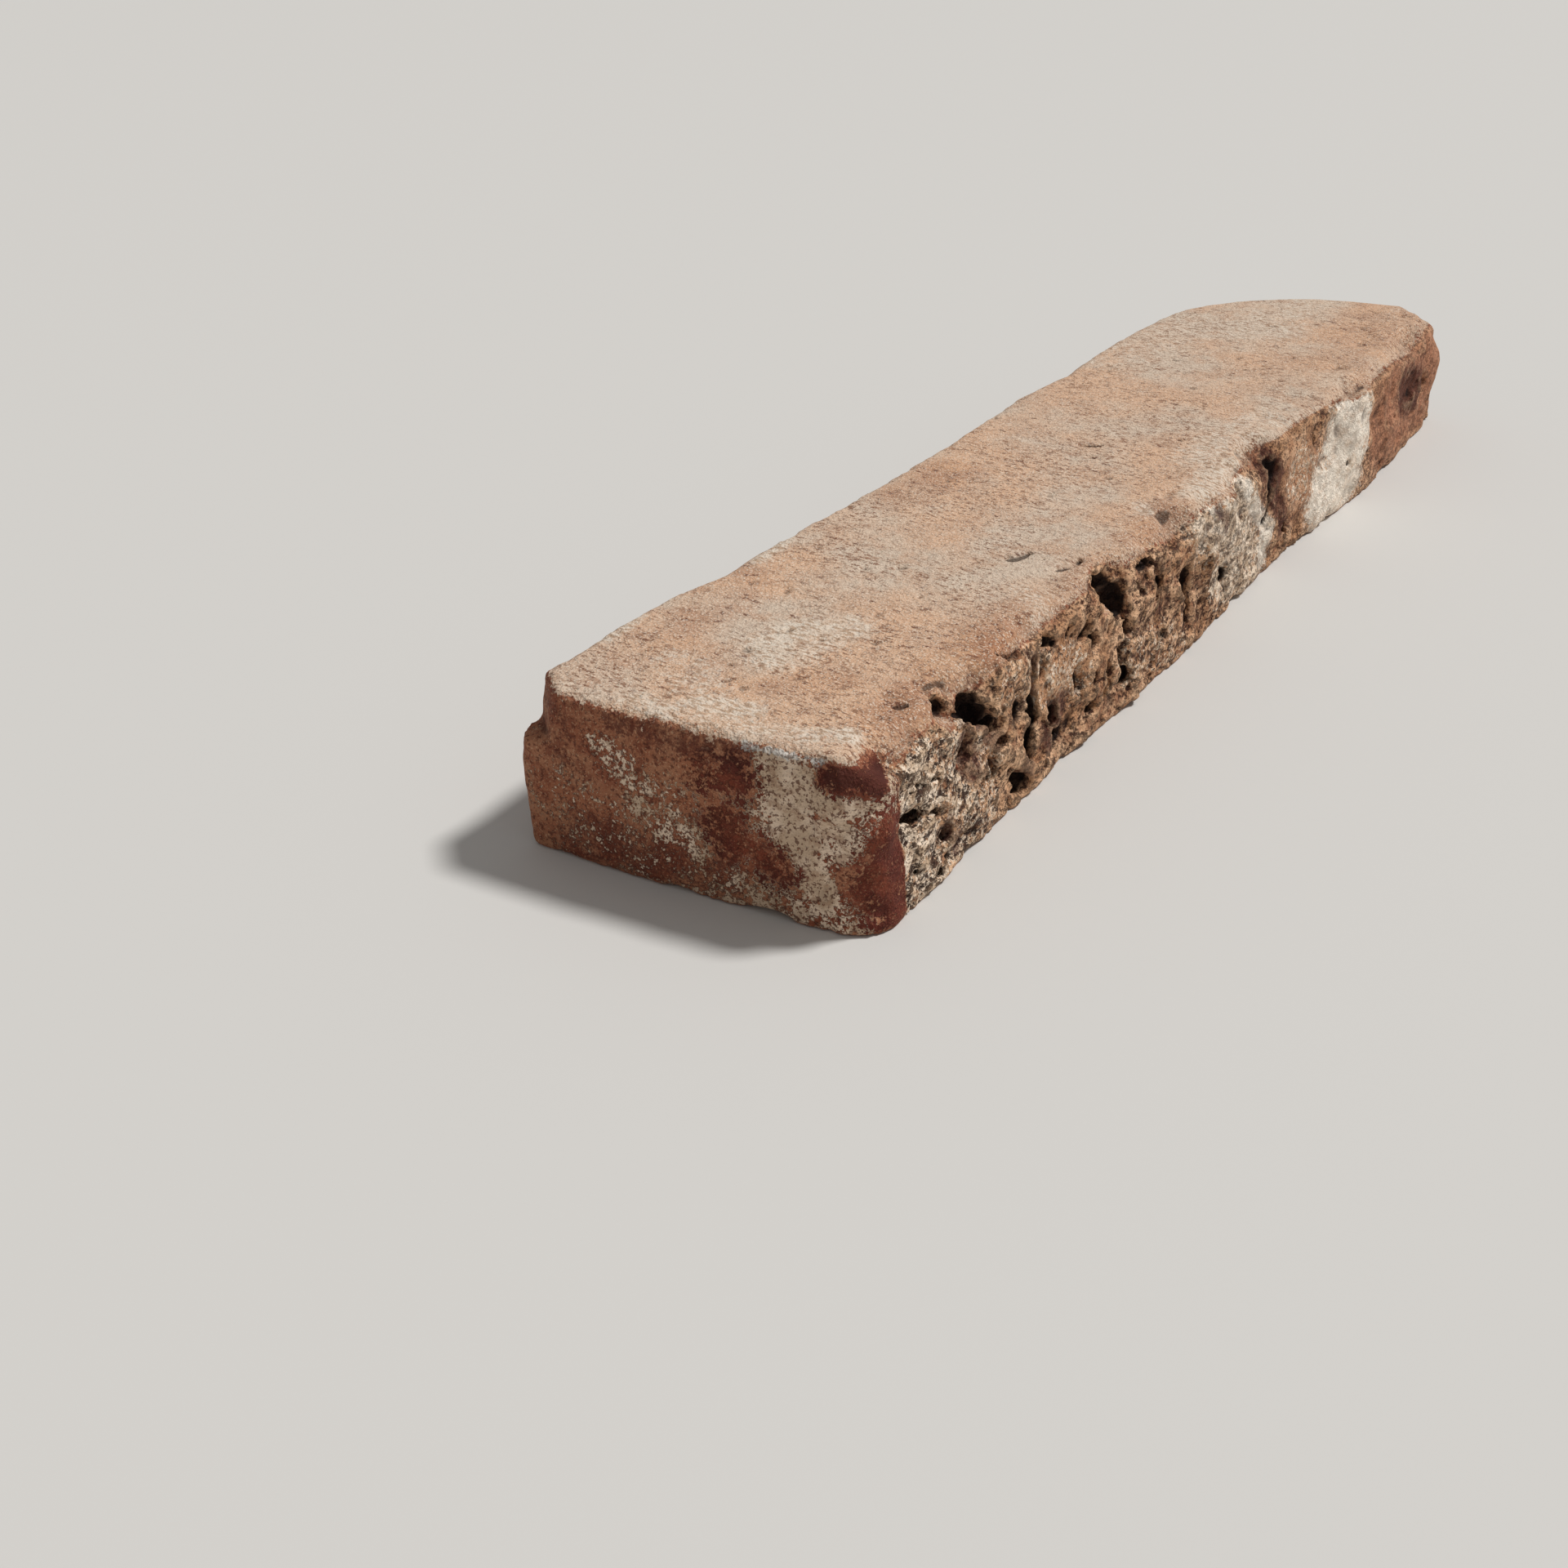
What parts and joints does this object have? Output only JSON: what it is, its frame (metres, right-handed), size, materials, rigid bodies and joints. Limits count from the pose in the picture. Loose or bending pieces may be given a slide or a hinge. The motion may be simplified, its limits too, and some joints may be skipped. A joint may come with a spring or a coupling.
{
  "type": "brick veneer slip",
  "caption": "Reclaimed fired clay brick slip with a flat sawn back, a worn face, a broken pitted long side and old lime mortar residue, for facing a wall.",
  "frame": {"origin": "middle of the box round the slip, on the sawn back", "axes": "+X along the length towards the end with the knocked-off corner, +Z out of the worn face, -Y towards the broken long side"},
  "size_m": [0.244, 0.0544, 0.024],
  "materials": {
    "fired_clay": "worn porous fired clay, tan to red brown, with a thin smear and crust of pale lime mortar"
  },
  "bodies": {
    "root": {"brick_slip": "fired_clay"}
  },
  "joints": []
}
